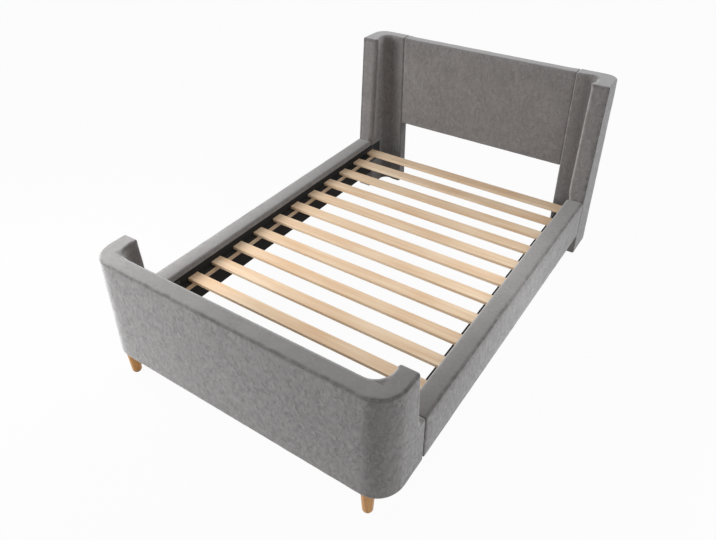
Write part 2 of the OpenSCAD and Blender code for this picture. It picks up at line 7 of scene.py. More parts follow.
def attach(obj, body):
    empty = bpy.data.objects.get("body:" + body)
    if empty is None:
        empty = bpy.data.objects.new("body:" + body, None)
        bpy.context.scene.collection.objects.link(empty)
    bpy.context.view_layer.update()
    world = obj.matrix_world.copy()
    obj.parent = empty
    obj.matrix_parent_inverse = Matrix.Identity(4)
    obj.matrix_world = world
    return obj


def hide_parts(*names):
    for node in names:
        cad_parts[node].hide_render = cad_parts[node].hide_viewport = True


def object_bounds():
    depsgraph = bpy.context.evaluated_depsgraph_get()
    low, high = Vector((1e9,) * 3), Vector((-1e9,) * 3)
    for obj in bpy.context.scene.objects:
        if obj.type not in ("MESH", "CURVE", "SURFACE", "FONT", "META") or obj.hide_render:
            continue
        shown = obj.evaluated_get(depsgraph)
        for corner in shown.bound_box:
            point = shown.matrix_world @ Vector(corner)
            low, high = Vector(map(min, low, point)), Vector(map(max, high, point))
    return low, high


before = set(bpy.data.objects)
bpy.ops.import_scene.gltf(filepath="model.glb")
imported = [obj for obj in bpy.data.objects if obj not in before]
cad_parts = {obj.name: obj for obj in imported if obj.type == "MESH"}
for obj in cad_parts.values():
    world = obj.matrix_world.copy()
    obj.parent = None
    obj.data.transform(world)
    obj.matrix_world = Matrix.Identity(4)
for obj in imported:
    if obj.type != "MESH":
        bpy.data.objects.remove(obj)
cad_low, cad_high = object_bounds()
bpy.ops.object.select_all(action="DESELECT")
scene = bpy.context.scene

# Lengths are in millimetres, from the bed's middle, the footboard's front and the floor
MM = 0.001
BED_HALF, BED_LENGTH = 698, 2155
# A cover's rows of faces lie this far apart, where nothing asks for closer ones
ROW = 24

# The footboard: its top, underside and wall, the radius of its bends outside and inside, where
# its straight part ends, and how far its edges are rounded, the inner top edge most
FOOT_TOP, FOOT_UNDER, FOOT_WALL = 593, 110, 79
FOOT_CORNER, FOOT_INNER_CORNER, FOOT_STRAIGHT = 110, 70, 540
FOOT_ROUND, FOOT_ROLL = 9, 14
# Its arms: where they end below the rail's top, just above it and at their own top, where their
# lean begins, the radius of their step over the rail, and how far their ends are rounded
ARM_LOW, ARM_MID, ARM_TOP, ARM_FROM = 247, 203, 188, 150
ARM_STEP, ARM_ROUND = 30, 13

# The rails: inner face, top and underside, both ends, the seam, and how far the outer top edge,
# the inner fold and the other edges are rounded
RAIL_IN, RAIL_TOP, RAIL_UNDER = 610, 323, 117
RAIL_FROM, RAIL_TO, RAIL_SEAM = 249, 1923, 692
RAIL_ROUND, RAIL_FOLD, RAIL_EDGE = 6, 15, 3

# The wings: their front below and at the top, where its lean has died out, their edge beside
# the panel, their underside and wall, and the radius of their bend outside and inside
WING_FROM, WING_TOP_FROM, WING_LEAN_TO = 1925, 1970, 2045
WING_EDGE, WING_UNDER, WING_WALL = 498, 3, 82
WING_CORNER, WING_INNER_CORNER = 65, 45
# How far the wings' edges are rounded: most of them, those beside the panel, the inner front
# one, and the hollow's top one, from a place across the bed
WING_ROUND, WING_END_ROUND, WING_ROLL, WING_TOP_ROLL, WING_TOP_ROLL_FROM = 7, 9, 30, 13, 525
# How far the foam puffs the wings' front inwards, over which depth and from which height, and
# how far they stand proud of the panel, up to a place across the bed
WING_PUFF, WING_PUFF_DEPTH, WING_PUFF_RISE = 13, 60, 15
WING_PROUD, WING_PROUD_TO = 6, 560

# The panel: its front, its top, its half width, its underside and its rounded edges
HEAD_FRONT, HEAD_TOP, PANEL_HALF, PANEL_UNDER = 2090, 940, 497, 413
PANEL_ROUND, PANEL_EDGE = 10, 3

# Rows of faces round a bend, across the thickness of a wall and round an edge
CORNER_STEPS, DEPTH_ROWS, EDGE_STEPS, ROLL_STEPS, FINE_STEPS = 8, 4, 4, 5, 2
SHARP, SMOOTH = math.radians(50), math.radians(60)

# Cloth: the air pressure that stuffs it, the frames it swells for, and the furthest that a point
# of the footboard's cover and of the others moves
PRESSURE, FRAMES, FOOT_CAP, CAP = 4.0, 20, 5.5, 3.0
# Seams: how deep they lie, how far apart the stitches pull, how wide the painted shade beside
# them is, and how far and over which length that shade wanders
SEAM_DEPTH, STITCH_PULL, SEAM_SHADE, SEAM_WANDER, SEAM_WAVE = 2.2, 14, 8.0, 6.0, 45.0
WANDER_SHIFTS = [Vector((9.3, 1.5, 8.0)), Vector((0.0, 0.0, 0.0)), Vector((6.3, 0.2, 2.7))]
# A point this near to a seam is sewn
SEAM_NEAR = 0.8
# The footboard's seam lies in the middle of its rounded top edge
EDGE_DEPTH = FOOT_ROUND * (1 - math.sqrt(0.5))
# The padding's unevenness: its height and its size along the surface
RUMPLE_HEIGHT, RUMPLE_SIZE = 0.7, 60
# Painted shade in hollows: how far it reaches, and how strong it is where it isn't 1
FOOT_HOLLOW, FOOT_HOLLOW_SHADE, WING_HOLLOW, WING_END_SHADE = 140, 2.2, 100, 2.0
# The painted highlight on the right wing's rim: the width of its pale line, and over which
# width that fades
RIM_WIDTH, RIM_FADE = 4, 5


# Modelling tools

def point(x, y, z):
    """The place in the scene of a point given in millimetres."""
    return Vector((x * MM, cad_low.y + y * MM, z * MM))


def measure(place):
    """A place in the scene in millimetres, which is the reverse of point."""
    return (place - Vector((0, cad_low.y, 0))) / MM


def measure_all(piece):
    return [measure(v.co) for v in piece.data.vertices]


def below(top, depth, z):
    """Nought at a height and above it, and one from so far below it."""
    return min(1.0, max(0.0, (top - z) / depth))


def choose(piece):
    """Makes one piece the only selected and the active one."""
    bpy.ops.object.select_all(action="DESELECT")
    bpy.context.view_layer.objects.active = piece
    piece.select_set(True)


def edit(piece):
    """Opens one piece in edit mode."""
    choose(piece)
    bpy.ops.object.mode_set(mode="EDIT")


def close_edit():
    bpy.ops.object.mode_set(mode="OBJECT")


def pick(piece, kind, test):
    """Selects the faces or edges for whose corners, in millimetres, the test holds."""
    bpy.ops.mesh.select_mode(type={"faces": "FACE", "edges": "EDGE"}[kind])
    bpy.ops.mesh.select_all(action="DESELECT")
    mesh = bmesh.from_edit_mesh(piece.data)
    for part in getattr(mesh, kind):
        if test([measure(v.co) for v in part.verts]):
            part.select_set(True)
    mesh.select_flush_mode()
    bmesh.update_edit_mesh(piece.data)


def same(a, b, within=0.05):
    """Whether two places along an axis are the same, but for rounding."""
    return abs(a - b) < within


def all_at(axis, place):
    """A test that every corner lies at one place along an axis."""
    return lambda corners: all(same(c[axis], place) for c in corners)


def add_box(name, x, y, z):
    """A box between two places on each axis, as the start of a piece."""
    low, high = point(x[0], y[0], z[0]), point(x[1], y[1], z[1])
    bpy.ops.object.select_all(action="DESELECT")
    bpy.ops.mesh.primitive_cube_add(size=1, location=(low + high) / 2, scale=high - low)
    bpy.ops.object.transform_apply(location=True, rotation=True, scale=True)
    piece = bpy.context.object
    piece.name = piece.data.name = name
    return piece


def cut_across(axis, places):
    """Cuts the open piece by planes square to an axis, which gives it rows of faces."""
    normal = [0, 0, 0]
    normal[axis] = 1
    for place in places:
        spot = point(*[place if i == axis else 0 for i in range(3)])
        bpy.ops.mesh.select_all(action="SELECT")
        bpy.ops.mesh.bisect(plane_co=spot, plane_no=normal)


def rows(start, end):
    """Places from start to end, about a row apart. The pieces' first and last rows lie close to
    their edges, which keeps the rounding of an edge narrow."""
    count = max(1, round((end - start) / ROW))
    return [start + (end - start) * i / count for i in range(count + 1)]


def move_points(piece, rule):
    """Moves each vertex to the place, in millimetres, that the rule gives for it."""
    for v in piece.data.vertices:
        v.co = point(*rule(*measure(v.co)))


def add_wall_face(name, x, y, z, corners, radius, open_sides):
    """One upright face of a bent wall: a box with rounded corners and only its closed sides."""
    piece = add_box(name, x, y, z)
    edit(piece)
    pick(piece, "edges", lambda edge: any(
        all(same(p.x, cx) and same(p.y, cy) for p in edge) for cx, cy in corners))
    bpy.ops.mesh.bevel(offset=radius * MM, segments=CORNER_STEPS, affect="EDGES",
                       clamp_overlap=False)
    for axis, place in list(open_sides) + [(2, z[0]), (2, z[1])]:
        pick(piece, "faces", all_at(axis, place))
        bpy.ops.mesh.delete(type="FACE")
    close_edit()
    return piece


def bridge(piece, test):
    """Closes the gap between two open rims of the piece with rows of quads."""
    pick(piece, "edges", test)
    bpy.ops.mesh.bridge_edge_loops(interpolation="LINEAR", number_cuts=DEPTH_ROWS)


def upright(edge):
    """Whether an edge stands upright."""
    return same(edge[0].x, edge[1].x) and same(edge[0].y, edge[1].y)


def rises(edge):
    """Whether an edge rises more than it runs."""
    run = math.hypot(edge[0].x - edge[1].x, edge[0].y - edge[1].y)
    return abs(edge[0].z - edge[1].z) > run


def join_walls(outer, inner, z, ends, cuts):
    """Joins the outer and inner faces of a bent wall into one closed body of even rows of quads.
    Each end is an axis, a place on it and the side of the bed."""
    bpy.ops.object.select_all(action="DESELECT")
    inner.select_set(True)
    outer.select_set(True)
    bpy.context.view_layer.objects.active = outer
    bpy.ops.object.join()
    edit(outer)
    for axis, places in cuts:
        cut_across(axis, places)
    for place in z:
        bridge(outer, all_at(2, place))
    for axis, place, side in ends:
        bridge(outer, lambda c: all_at(axis, place)(c) and upright(c) and c[0].x * side >= 0)
    bpy.ops.mesh.select_all(action="SELECT")
    bpy.ops.mesh.remove_doubles(threshold=0.05 * MM)
    bpy.ops.mesh.normals_make_consistent(inside=False)
    close_edit()
    return outer


def soften(piece, radius, steps, test=lambda corners: True):
    """Rounds those sharp edges of a piece for which the test holds."""
    edit(piece)
    bpy.ops.mesh.select_mode(type="EDGE")
    bpy.ops.mesh.select_all(action="DESELECT")
    mesh = bmesh.from_edit_mesh(piece.data)
    for e in mesh.edges:
        sharp = e.is_manifold and e.calc_face_angle() > SHARP
        if sharp and test([measure(v.co) for v in e.verts]):
            e.select_set(True)
    bmesh.update_edit_mesh(piece.data)
    bpy.ops.mesh.bevel(offset=radius * MM, segments=steps, affect="EDGES", clamp_overlap=False)
    close_edit()


def stuff(piece, held, sewn, cap):
    """Swells a cover over its foam with Blender's cloth. What is stapled down or stands against
    another part is held, and no point moves further than the cap."""
    rest = [v.co.copy() for v in piece.data.vertices]
    still = [i for i, p in enumerate(measure_all(piece)) if held(p) or i in sewn]
    group = piece.vertex_groups.new(name="held")
    group.add(still, 1.0, "REPLACE")
    choose(piece)
    bpy.ops.object.modifier_add(type="CLOTH")
    cloth = piece.modifiers[-1]
    cloth.settings.use_pressure = True
    cloth.settings.uniform_pressure_force = PRESSURE
    cloth.settings.vertex_group_mass = "held"
    cloth.settings.effector_weights.gravity = 0
    cloth.point_cache.frame_end = FRAMES
    for number in range(1, FRAMES + 1):
        scene.frame_set(number)
    bpy.ops.object.modifier_apply(modifier=cloth.name)
    scene.frame_set(1)
    for v, start in zip(piece.data.vertices, rest):
        move = v.co - start
        length = move.length / MM
        if length > 0:
            v.co = start + move * (cap * math.tanh(length / cap) / length)


def subdivide(piece):
    smooth = piece.modifiers.new("smooth", "SUBSURF")
    smooth.levels = smooth.render_levels = 1
    choose(piece)
    bpy.ops.object.modifier_apply(modifier=smooth.name)


def mark_seam(piece, distance):
    """Groups the points on a seam, so that they are found again once the cloth has moved."""
    group = piece.vertex_groups.new(name="seam")
    near = [i for i, p in enumerate(measure_all(piece)) if distance(p) < SEAM_NEAR]
    group.add(near, 1.0, "REPLACE")


def seam_points(piece):
    """The points of a piece that are sewn."""
    seam = piece.vertex_groups["seam"].index
    return [v for v in piece.data.vertices if any(g.group == seam for g in v.groups)]


def sew(piece):
    """Presses the seam into the cloth, deeper where a stitch pulls."""
    sewn = seam_points(piece)
    normals = [v.normal.copy() for v in sewn]
    for v, normal in zip(sewn, normals):
        pull = 1 + 0.5 * noise.noise(v.co / (STITCH_PULL * MM))
        v.co -= normal * SEAM_DEPTH * pull * MM


def shade(piece, name, amount):
    """Keeps an amount for each point, which the velvet reads by its name: painted shade or a
    painted highlight.
    """
    kept = piece.data.attributes.new(name, "FLOAT", "POINT")
    kept.data.foreach_set("value", [amount(p) for p in measure_all(piece)])


def wander(p):
    """Where a place has strayed by a few millimetres, as the line of hand-sewn cloth does. Each
    axis has its own noise, because the vector noise of mathutils differs from run to run."""
    return p + SEAM_WANDER * Vector([noise.noise(p / SEAM_WAVE + s) for s in WANDER_SHIFTS])


def painted_seam_shade(distance):
    """How strong the painted shade is near a seam, whose distance from a place is given."""
    return lambda p: math.exp(-(distance(wander(p)) / SEAM_SHADE) ** 2)


def rumple(piece):
    """Gives the padding the slight unevenness of foam and wadding under cloth."""
    normals = [v.normal.copy() for v in piece.data.vertices]
    for v, normal in zip(piece.data.vertices, normals):
        v.co += normal * RUMPLE_HEIGHT * MM * noise.noise(v.co / (RUMPLE_SIZE * MM))


def mirrored(piece, name):
    """A copy on the other side of the bed, with its own mesh."""
    twin = piece.copy()
    twin.data = piece.data.copy()
    twin.name = twin.data.name = name
    scene.collection.objects.link(twin)
    twin.scale.x = -1
    choose(twin)
    bpy.ops.object.transform_apply(location=True, rotation=True, scale=True)
    edit(twin)
    bpy.ops.mesh.select_all(action="SELECT")
    bpy.ops.mesh.normals_make_consistent(inside=False)
    close_edit()
    return twin


# The footboard's upholstery, bent round the foot end, with its arms' leaning ends and low steps

def arm_end(z):
    """How far back the arm's end lies at a height: it leans, and widens to its low step."""
    rise = z - RAIL_TOP
    if rise <= 0.5:
        return ARM_LOW
    end = ARM_MID + (ARM_TOP - ARM_MID) * rise / (FOOT_TOP - RAIL_TOP)
    if rise < ARM_STEP:
        end += ARM_STEP - math.sqrt(ARM_STEP ** 2 - (ARM_STEP - rise) ** 2)
    return end


def outline_depth(p):
    """How far inside the footboard's outer outline a place lies."""
    across, along = abs(p.x) - (BED_HALF - FOOT_CORNER), FOOT_CORNER - p.y
    if across > 0 and along > 0:
        return FOOT_CORNER - math.hypot(across, along)
    return min(BED_HALF - abs(p.x), p.y)


def seam_distance_foot(p):
    """The distance to the footboard's seam, which runs along the outer edge of its top."""
    return math.hypot(outline_depth(p) - EDGE_DEPTH, FOOT_TOP - EDGE_DEPTH - p.z)


def foot_hollow_painted_shade(p):
    """Painted shade in the hollow behind the footboard, in the bend of each arm."""
    inner = BED_HALF - FOOT_WALL
    if abs(p.x) > inner + 2 or p.y < FOOT_WALL - 2:
        return 0.0
    reach = math.hypot(abs(p.x) - inner, p.y - FOOT_WALL) / FOOT_HOLLOW
    return FOOT_HOLLOW_SHADE * math.exp(-reach ** 2)


def make_footboard():
    inner_half = BED_HALF - FOOT_WALL
    z = (FOOT_UNDER, FOOT_TOP)
    back = (1, ARM_LOW)
    outer = add_wall_face("footboard_upholstery", (-BED_HALF, BED_HALF), (0, ARM_LOW), z,
                          [(-BED_HALF, 0), (BED_HALF, 0)], FOOT_CORNER, [back])
    inner = add_wall_face("inner", (-inner_half, inner_half), (FOOT_WALL, ARM_LOW), z,
                          [(-inner_half, FOOT_WALL), (inner_half, FOOT_WALL)],
                          FOOT_INNER_CORNER, [back])
    # Rows lie closer together where the arm's low step bends
    heights = rows(FOOT_UNDER + 11, RAIL_TOP - 12)
    heights += [RAIL_TOP, RAIL_TOP + 3, RAIL_TOP + 9, RAIL_TOP + 19]
    heights += rows(RAIL_TOP + ARM_STEP, FOOT_TOP - 14)
    along_arm = [ARM_FROM + 15 * i for i in range(1, 5)]
    cuts = [(0, rows(-FOOT_STRAIGHT, FOOT_STRAIGHT)), (1, along_arm), (2, heights)]
    piece = join_walls(outer, inner, z, [(1, ARM_LOW, 1), (1, ARM_LOW, -1)], cuts)

    def lean(x, y, z):
        if y > ARM_FROM:
            y = ARM_FROM + (y - ARM_FROM) * (arm_end(z) - ARM_FROM) / (ARM_LOW - ARM_FROM)
        return x, y, z

    def ends_arm(edge):
        beside = any(all(same(abs(p.x), side, 0.1) for p in edge)
                     for side in (BED_HALF, inner_half))
        return beside and all(same(p.y, arm_end(p.z), 0.6) for p in edge)

    move_points(piece, lean)
    soften(piece, ARM_ROUND, EDGE_STEPS, ends_arm)
    soften(piece, FOOT_ROLL, EDGE_STEPS, lambda edge: all(
        p.z > FOOT_TOP - 1 and abs(p.x) < inner_half + 1 and p.y > FOOT_WALL - 1 for p in edge))
    soften(piece, FOOT_ROUND, EDGE_STEPS)
    mark_seam(piece, seam_distance_foot)
    return piece


# A rail's upholstery, with its seam along the outer top edge and its fold inside

def seam_distance_rail(p):
    """The distance to the rail's seam, which runs along the outer edge of its top."""
    return math.hypot(p.x - RAIL_SEAM, p.z - RAIL_TOP)


def make_rail():
    piece = add_box("rail_upholstery_right", (RAIL_IN, BED_HALF), (RAIL_FROM, RAIL_TO),
                    (RAIL_UNDER, RAIL_TOP))
    edit(piece)
    cut_across(1, rows(RAIL_FROM + 7, RAIL_TO - 7))
    cut_across(0, [RAIL_IN + d for d in (24, 38, 52)] + [RAIL_SEAM - d for d in (12, 5, 0)])
    cut_across(2, rows(RAIL_UNDER + 8, RAIL_TOP - ROW))
    close_edit()
    mark_seam(piece, seam_distance_rail)
    soften(piece, RAIL_FOLD, EDGE_STEPS, lambda edge: all(
        p.z > RAIL_TOP - 1 and p.x < RAIL_IN + 1 for p in edge))
    soften(piece, RAIL_ROUND, EDGE_STEPS, lambda edge: all(
        p.z > RAIL_TOP - 1 and p.x > BED_HALF - 1 for p in edge))
    soften(piece, RAIL_EDGE, FINE_STEPS)
    return piece


# A wing's upholstery, bent round the head end, with its leaning front

def wing_front(z):
    """Where the wing's front lies at a height: it leans back above the rail."""
    rise = max(0, z - RAIL_TOP)
    return WING_FROM + (WING_TOP_FROM - WING_FROM) * rise / (HEAD_TOP - RAIL_TOP)


def seam_distance_wing(p):
    """The distance to the wing's seam, which bounds its front at the outer side and the top."""
    edge, top = BED_HALF - WING_ROUND, HEAD_TOP - WING_ROUND
    beside = math.hypot(p.x - edge, max(0, p.z - top, RAIL_TOP - p.z))
    above = math.hypot(p.z - top, max(0, p.x - edge))
    return math.hypot(p.y - wing_front(p.z), min(beside, above))


def wing_hollow_painted_shade(p):
    """Painted shade in the hollow inside the wing's bend and on its bare end under the panel."""
    if p.x < WING_EDGE + 4:
        return WING_END_SHADE * below(PANEL_UNDER, 12, p.z)
    if p.x > BED_HALF - WING_WALL + 2 or p.y > HEAD_FRONT + 2:
        return 0.0
    reach = math.hypot(p.x - BED_HALF + WING_WALL, p.y - HEAD_FRONT) / WING_HOLLOW
    return math.exp(-reach ** 4) * below(HEAD_TOP - 5, 30, p.z)


def right_rim_painted_highlight(p):
    """A painted highlight on the right wing's inner front rim."""
    if p.y > wing_front(p.z) + WING_ROLL or p.z < RAIL_TOP:
        return 0.0
    inner = BED_HALF - WING_WALL - WING_PUFF
    beside = max(0.0, p.x - inner - RIM_WIDTH)
    return below(HEAD_TOP - 6, 16, p.z) * math.exp(-(beside / RIM_FADE) ** 2)


def make_wing():
    z = (WING_UNDER, HEAD_TOP)
    inner_x = BED_HALF - WING_WALL
    sides = [(0, WING_EDGE), (1, WING_FROM)]
    outer = add_wall_face("wing_upholstery_right", (WING_EDGE, BED_HALF), (WING_FROM, BED_LENGTH),
                          z, [(BED_HALF, BED_LENGTH)], WING_CORNER, sides)
    inner = add_wall_face("inner", (WING_EDGE, inner_x), (WING_FROM, HEAD_FRONT), z,
                          [(inner_x, HEAD_FRONT)], WING_INNER_CORNER, sides)
    heights = rows(WING_UNDER + 16, RAIL_TOP) + rows(RAIL_TOP, HEAD_TOP - 20)[1:]
    cuts = [(0, [WING_EDGE + d for d in (10, 28, 50)]),
            (1, [WING_FROM + d for d in (28, 51, 74, 97)]), (2, heights)]
    piece = join_walls(outer, inner, z, [(0, WING_EDGE, 1), (1, WING_FROM, 1)], cuts)

    def lean_and_puff(x, y, z):
        if y < WING_LEAN_TO and z > RAIL_TOP:
            y += (wing_front(z) - WING_FROM) * (WING_LEAN_TO - y) / (WING_LEAN_TO - WING_FROM)
            near_front = max(0, 1 - (y - wing_front(z)) / WING_PUFF_DEPTH)
            puff = near_front * min(1, (z - RAIL_TOP) / WING_PUFF_RISE)
            x -= WING_PUFF * puff * (BED_HALF - x) / WING_WALL
        if same(y, HEAD_FRONT, 0.1) and x < WING_PROUD_TO:
            y -= WING_PROUD
        return x, y, z

    move_points(piece, lean_and_puff)
    soften(piece, WING_ROLL, ROLL_STEPS, lambda edge: rises(edge) and all(
        p.x < inner_x + 1 and p.y < WING_LEAN_TO - 1 for p in edge))
    soften(piece, WING_END_ROUND, EDGE_STEPS, lambda edge: all(
        p.x < WING_EDGE + 1 for p in edge))
    soften(piece, WING_TOP_ROLL, EDGE_STEPS, lambda edge: all(
        p.z > HEAD_TOP - 1 and WING_TOP_FROM + WING_ROLL + 1 < p.y < HEAD_FRONT + 1
        and WING_TOP_ROLL_FROM < p.x < inner_x + WING_ROLL + 1 for p in edge))
    soften(piece, WING_ROUND, EDGE_STEPS)
    mark_seam(piece, seam_distance_wing)
    return piece


# The headboard's panel

def make_panel():
    piece = add_box("panel_upholstery", (-PANEL_HALF, PANEL_HALF), (HEAD_FRONT, BED_LENGTH),
                    (PANEL_UNDER, HEAD_TOP))
    edit(piece)
    cut_across(0, rows(-PANEL_HALF + 8, PANEL_HALF - 8))
    cut_across(1, [HEAD_FRONT + 12, HEAD_FRONT + 32, BED_LENGTH - 12])
    cut_across(2, rows(PANEL_UNDER + 12, HEAD_TOP - 12))
    close_edit()
    soften(piece, PANEL_EDGE, FINE_STEPS, lambda edge: all(
        abs(p.x) > PANEL_HALF - 1 for p in edge) or all(p.z < PANEL_UNDER + 1 for p in edge))
    soften(piece, PANEL_ROUND, EDGE_STEPS)
    return piece


def upholster(piece, cap, held, seam_distance=None, hollow_painted_shade=None):
    """Stuffs a cover, sews its seam, rounds it, gives it the slight unevenness of padding, and
    keeps the painted shade of its seam and hollows.
    """
    sewn = {v.index for v in seam_points(piece)} if seam_distance else set()
    stuff(piece, held, sewn, cap)
    if seam_distance:
        sew(piece)
    subdivide(piece)
    rumple(piece)
    if seam_distance:
        shade(piece, "seam_shade", painted_seam_shade(seam_distance))
    if hollow_painted_shade:
        shade(piece, "hollow_shade", hollow_painted_shade)
    choose(piece)
    bpy.ops.object.shade_smooth_by_angle(angle=SMOOTH)


footboard = make_footboard()
upholster(footboard, FOOT_CAP, lambda p: p.z < FOOT_UNDER + 1, seam_distance_foot, foot_hollow_painted_shade)
rail_right = make_rail()
upholster(rail_right, CAP, lambda p: p.z < RAIL_UNDER + 1 or p.x < RAIL_IN + RAIL_FOLD + 2,
          seam_distance_rail)
rail_left = mirrored(rail_right, "rail_upholstery_left")
wing_right = make_wing()
upholster(wing_right, CAP, lambda p: p.z < WING_UNDER + 1 or p.x < WING_EDGE + 1,
          seam_distance_wing, wing_hollow_painted_shade)
wing_left = mirrored(wing_right, "wing_upholstery_left")
# A painted highlight on the right wing's inner rim; the left wing has none
shade(wing_right, "rim_sheen", right_rim_painted_highlight)
panel = make_panel()
upholster(panel, CAP, lambda p: p.z < PANEL_UNDER + 1 or abs(p.x) > PANEL_HALF - 1)

REPLACED = {
    footboard: ["footboard_cover", "footboard_foam"],
    rail_right: ["rail_cover_right", "rail_foam_right"],
    rail_left: ["rail_cover_left", "rail_foam_left"],
    wing_right: ["wing_cover_right", "wing_foam_right"],
    wing_left: ["wing_cover_left", "wing_foam_left"],
    panel: ["panel_cover", "panel_foam"],
}
for piece, nodes in REPLACED.items():
    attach(piece, "root")
    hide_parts(*nodes)


# Materials

def linear(hex_colour):
    """An sRGB hex colour as the linear colour that Blender works in."""
    parts = [int(hex_colour[i:i + 2], 16) / 255 for i in (1, 3, 5)]
    return tuple(p / 12.92 if p <= 0.04045 else ((p + 0.055) / 1.055) ** 2.4
                 for p in parts) + (1.0,)


def grey(value):
    return (value, value, value, 1.0)


def add_node(tree, kind, inputs=None, stops=None, **settings):
    """Adds a node with its settings, its ramp's stops, and its inputs as values or as links."""
    node = tree.nodes.new("ShaderNode" + kind)
    for key, value in settings.items():
        setattr(node, key, value)
    for stop, (place, colour) in zip(node.color_ramp.elements if stops else [], stops or []):
        stop.position = place
        stop.color = colour
    for key, value in (inputs or {}).items():
        socket = node.inputs[key] if isinstance(key, int) else next(
            i for i in node.inputs if i.name == key and i.enabled)
        if isinstance(value, bpy.types.NodeSocket):
            tree.links.new(value, socket)
        else:
            socket.default_value = value
    return node


def new_material(name):
    material = bpy.data.materials.new(name)
    material.use_nodes = True
    material.node_tree.nodes.clear()
    return material


# How strongly the velvet's motif shows from in front, and how much more it shows in the painted
# sheen at a slant
MOTIF, SLANT_MOTIF = 0.15, 0.5
# How pale the pile is painted at a slant and edge on, as painted sheen, and along the right
# wing's rim as a painted highlight
SLANT_SHEEN, RIM_SHEEN, RIM_PAINTED_HIGHLIGHT = 0.38, 0.5, 0.5
# How strong the painted shade is in a hollow
HOLLOW_PAINTED_SHADE = 0.17


def velvet_motif(tree, coordinates):
    """The motif: short upright flecks about 8 mm wide and 13 mm tall, dense but faint."""
    place = coordinates["Object"]
    tall = add_node(tree, "Mapping", {"Vector": place, "Scale": (1.0, 1.0, 0.6)}).outputs[0]
    field = add_node(tree, "TexNoise", {
        "Vector": tall, "Scale": 66.0, "Detail": 2.5, "Roughness": 0.6,
        "Distortion": 0.9}).outputs["Fac"]
    fleck = add_node(tree, "MapRange", {
        "Value": field, "From Min": 0.38, "From Max": 0.62, "To Min": -1.0,
        "To Max": 1.0}).outputs["Result"]
    # It fades in places, and on faces that lie flat, where the pile is pressed down
    patches = add_node(tree, "TexNoise", {
        "Vector": place, "Scale": 26.0, "Detail": 2.0}).outputs["Fac"]
    patches = add_node(tree, "MapRange", {
        "Value": patches, "From Min": 0.35, "From Max": 0.65, "To Min": 0.35,
        "To Max": 1.0}).outputs["Result"]
    facing_up = add_node(tree, "SeparateXYZ", {0: coordinates["Normal"]}).outputs["Z"]
    upright_faces = add_node(tree, "MapRange", {
        "Value": facing_up, "From Min": 0.5, "From Max": 1.0, "To Min": 1.0,
        "To Max": 0.35}).outputs["Result"]
    motif = add_node(tree, "Math", {0: fleck, 1: patches}, operation="MULTIPLY").outputs[0]
    return add_node(tree, "Math", {0: motif, 1: upright_faces}, operation="MULTIPLY").outputs[0]


def velvet_painted_sheen(tree, motif):
    """Painted sheen: how much paler the velvet is painted where it is seen at a slant, as
    standing pile shows its pale sides, and along the right wing's painted rim highlight.
    """
    facing = add_node(tree, "LayerWeight", {"Blend": 0.5}).outputs["Facing"]
    edge_on = add_node(tree, "MapRange", {
        "Value": facing, "From Min": 0.6, "From Max": 0.95,
        "To Max": RIM_SHEEN}).outputs["Result"]
    slant = add_node(tree, "MapRange", {
        "Value": facing, "From Min": 0.2, "From Max": 0.65,
        "To Max": SLANT_SHEEN}).outputs["Result"]
    slant = add_node(tree, "Math", {0: slant, 1: edge_on}, operation="ADD").outputs[0]
    rim_highlight = add_node(tree, "Attribute", attribute_name="rim_sheen").outputs["Fac"]
    slant = add_node(tree, "Math", {0: rim_highlight, 1: RIM_PAINTED_HIGHLIGHT, 2: slant},
                     operation="MULTIPLY_ADD").outputs[0]
    brushed = add_node(tree, "Math", {0: motif, 1: SLANT_MOTIF, 2: 1.0},
                       operation="MULTIPLY_ADD").outputs[0]
    return add_node(tree, "Math", {0: slant, 1: brushed}, operation="MULTIPLY").outputs[0]


def velvet_painted_shade(tree, place):
    """How much the velvet is darkened by painted shade: along a seam, more where a stitch pulls,
    and in a hollow."""
    near = add_node(tree, "Attribute", attribute_name="seam_shade").outputs["Fac"]
    pulls = add_node(tree, "TexNoise", {
        "Vector": place, "Scale": 45.0, "Detail": 1.0}).outputs["Fac"]
    pulls = add_node(tree, "MapRange", {
        "Value": pulls, "From Min": 0.3, "From Max": 0.7, "To Min": 0.1,
        "To Max": 0.48}).outputs["Result"]
    seam = add_node(tree, "Math", {0: near, 1: pulls}, operation="MULTIPLY").outputs[0]
    hollow_painted_shade = add_node(tree, "Attribute", attribute_name="hollow_shade").outputs["Fac"]
    return add_node(tree, "Math", {0: hollow_painted_shade, 1: HOLLOW_PAINTED_SHADE, 2: seam},
                    operation="MULTIPLY_ADD").outputs[0]


